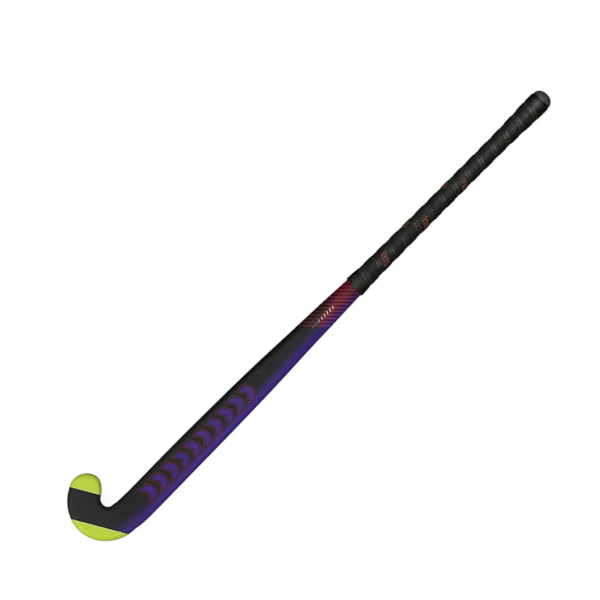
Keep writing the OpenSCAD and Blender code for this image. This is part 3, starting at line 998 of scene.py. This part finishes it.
def finishing_tape():
    """Two rounds of tape over the lower end of the grip, with the loose end's step at the back."""
    x = np.array([0, 0.25, 0.9, 1.8, TAPE_SLOPE, 4, 6, 8, 10, 12, 14, 16, 17.3, 17.85, TAPE_LENGTH])
    x += HANDLE_START
    around = 120
    turns = np.arange(around) * math.tau / around
    grid_x, grid_turn = (g.ravel() for g in np.meshgrid(x, turns, indexing="ij"))
    slope = np.clip((grid_x - HANDLE_START) / TAPE_SLOPE, 0, 1)
    slanted_x = grid_x + TAPE_SLANT * np.sin(grid_turn)
    over_grip = np.maximum(grip_top(np.maximum(slanted_x, GRIP_START + 1), grid_turn) + 0.14, TAPE_TOP - 0.15)
    over_grip = np.minimum(over_grip, TAPE_TOP + 0.25)
    ramp = TAPE_TOP - 0.55 + 0.4 * slope**0.6
    top = ramp + (over_grip - ramp) * slope**2
    lap_start, lap_end = math.radians(150), math.radians(205)
    lap = 0.16 * np.clip((grid_turn - lap_start) / (lap_end - lap_start), 0, 1) * (grid_turn < lap_end)
    ends = np.minimum(grid_x - x[0], x[-1] - grid_x)
    top = top + lap - 0.22 * (1 - np.clip(ends / 0.6, 0, 1)) ** 2
    outer = surface(slanted_x, grid_turn, top)
    under = np.where(grid_x < GRIP_START, 0.0, TAPE_TOP - 0.9)
    inner = surface(slanted_x, grid_turn, under)
    rows = len(x)
    rings = np.concatenate([outer.reshape(rows, around, 3), inner.reshape(rows, around, 3)[::-1]])
    faces = grid_faces(2 * rows, around, wrap_rows=True)
    points = rings.reshape(-1, 3)
    make_piece("finishing_tape_band", points, faces, finishing_film(), ["finishing_tape"])


def collar():
    """Rubber band over the joint of grip and cap: two grooves, and a lip rolled towards the dome."""
    bore, radius, lip = 14.25, 16.4, 0.9
    start, straight_end = COLLAR_START, COLLAR_STRAIGHT_END
    end = DOME_START - 0.6
    profile = [(start, bore), (start, radius - 0.45)]
    profile += arc(start + 0.45, radius - 0.45, 0.45, 0.45, 180, 90, 5)
    for groove in (start + 2.2, start + 3.6):
        profile += [
            (groove - 0.35, radius),
            (groove - 0.15, radius - 0.22),
            (groove + 0.15, radius - 0.22),
            (groove + 0.35, radius),
        ]
    profile += arc(straight_end, radius - lip, end - straight_end, lip, 90, 0, 12)
    profile += [(end, bore)]
    lathe("collar_band", profile, moulded_rubber(), ["top_collar"])


def cap():
    """Rubber cap: spigot inside the handle, flange under the collar, and a flattened dome."""
    spigot, flange, dome, fullness = 11.6, 14.2, 15.2, 2.2
    long = STICK_LENGTH - DOME_START
    profile = [(COLLAR_START + 0.1, 0), (COLLAR_START + 0.1, spigot - 0.5), (COLLAR_START + 0.6, spigot)]
    profile += [(SHELL_END, spigot), (SHELL_END, flange), (DOME_START, flange), (DOME_START, dome - 0.35)]
    for degrees in np.linspace(1.5, 88, 26):
        angle = math.radians(degrees)
        r = dome * math.cos(angle) ** (2 / fullness)
        profile.append((DOME_START + 0.2 + (long - 0.2) * math.sin(angle) ** (2 / fullness), r))
    profile.append((STICK_LENGTH, 0))
    lathe("butt_dome", profile, moulded_rubber(), ["butt_cap"])


# ---------------------------------------------------------------- build the object

stick_shell()
head_panels()
chevron_row()
diagonal_stripes()
dash_row()
grip_strip()
grip_marks()
finishing_tape()
collar()
cap()

HIDDEN_FINISHES = {
    "head_core": rigid_foam,
    "toe_side_foam": rigid_foam,
    "heel_side_foam": rigid_foam,
    "toe_side_tube": laminate_weave,
    "heel_side_tube": laminate_weave,
    "end_plug": laminate_weave,
    "grip_underlay": cushion_rubber,
}
made = {finish: finish() for finish in dict.fromkeys(HIDDEN_FINISHES.values())}
for node, finish in HIDDEN_FINISHES.items():
    frame["nodes"][node].data.materials.clear()
    frame["nodes"][node].data.materials.append(made[finish])

# ---------------------------------------------------------------- studio

FIELD_CENTRE = (461.9, 42.7)
FIELD_WIDTH = 871.7
HANDLE_ANGLE = 45.04
LENS, SENSOR = 400.0, 36.0


def add_camera():
    """Camera square to the face of the lying stick, with the handle up to the right."""
    camera = bpy.data.objects.new("camera", bpy.data.cameras.new("camera"))
    bpy.context.scene.collection.objects.link(camera)
    camera.data.lens, camera.data.sensor_width = LENS, SENSOR
    distance = FIELD_WIDTH * LENS / SENSOR
    camera.data.clip_start, camera.data.clip_end = 0.5, 100
    angle = math.radians(HANDLE_ANGLE)
    right = X_AXIS * math.cos(angle) - Y_AXIS * math.sin(angle)
    up = X_AXIS * math.sin(angle) + Y_AXIS * math.cos(angle)
    turn = Matrix((right, up, Z_AXIS)).transposed().to_4x4()
    camera.matrix_world = Matrix.Translation(place([(*FIELD_CENTRE, distance)])[0]) @ turn
    bpy.context.scene.camera = camera


def add_floor():
    """Plain pale floor that the stick doesn't mirror."""
    size = 30.0
    mesh = bpy.data.meshes.new("floor")
    corners = [(-size, -size), (size, -size), (size, size), (-size, size)]
    mesh.from_pydata([(x, y, -0.0005) for x, y in corners], [], [(0, 1, 2, 3)])
    floor = bpy.data.objects.new("floor", mesh)
    bpy.context.scene.collection.objects.link(floor)
    paper = bpy.data.materials.new("paper")
    paper.use_nodes = True
    shader = paper.node_tree.nodes["Principled BSDF"]
    shader.inputs["Base Color"].default_value = (0.2, 0.2, 0.2, 1)
    shader.inputs["Roughness"].default_value = 1.0
    shader.inputs["Specular IOR Level"].default_value = 0.0
    shader.inputs["Emission Color"].default_value = (1, 1, 1, 1)
    shader.inputs["Emission Strength"].default_value = 0.9
    mesh.materials.append(paper)
    floor.visible_diffuse = False
    floor.visible_glossy = False


DOME_LEAN, DOME_SIDE = 14.0, 22.0
DOME_FOCUS, DOME_OVERHEAD, DOME_RIM, DOME_BELOW = 10.0, 4.35, 0.05, 0.015


def add_light_dome():
    """Soft studio light from a dome, brightest round a pole that leans to the head and the toe side and
    dim from below, before a white backdrop."""
    world = bpy.data.worlds.new("studio")
    bpy.context.scene.world = world
    world.use_nodes = True
    tree = world.node_tree
    tree.nodes.clear()

    def node(kind, inputs=(), output=0, **settings):
        made = tree.nodes.new("ShaderNode" + kind)
        for key, value in settings.items():
            setattr(made, key, value)
        for key, value in dict(inputs).items():
            if isinstance(value, bpy.types.NodeSocket):
                tree.links.new(value, made.inputs[key])
            else:
                made.inputs[key].default_value = value
        return made.outputs[output]

    lean, side = math.radians(DOME_LEAN), math.radians(DOME_SIDE)
    pole = Z_AXIS * math.cos(lean) + (Y_AXIS * math.sin(side) - X_AXIS * math.cos(side)) * math.sin(lean)
    sky = node("TexCoord", output="Generated")
    height = node("VectorMath", {0: sky, 1: pole}, "Value", operation="DOT_PRODUCT")
    above = node("Math", {0: height, 1: 0.0}, operation="MAXIMUM")
    focused = node("Math", {0: above, 1: DOME_FOCUS}, operation="POWER")
    rim = node("MapRange", {0: height, 1: -0.1, 2: 0.1, 3: DOME_BELOW, 4: DOME_RIM})
    strength = node("Math", {0: focused, 1: DOME_OVERHEAD, 2: rim}, operation="MULTIPLY_ADD")
    light = node("Background", {"Color": (1, 1, 1, 1), "Strength": strength})
    backdrop = node("Background", {"Color": (1, 1, 1, 1)})
    seen = node("LightPath", output="Is Camera Ray")
    output = tree.nodes.new("ShaderNodeOutputWorld")
    shown = node("MixShader", {0: seen, 1: light, 2: backdrop})
    tree.links.new(shown, output.inputs["Surface"])


add_camera()
add_floor()
add_light_dome()
bpy.context.scene.view_settings.view_transform = "Standard"
bpy.context.scene.view_settings.look = "None"
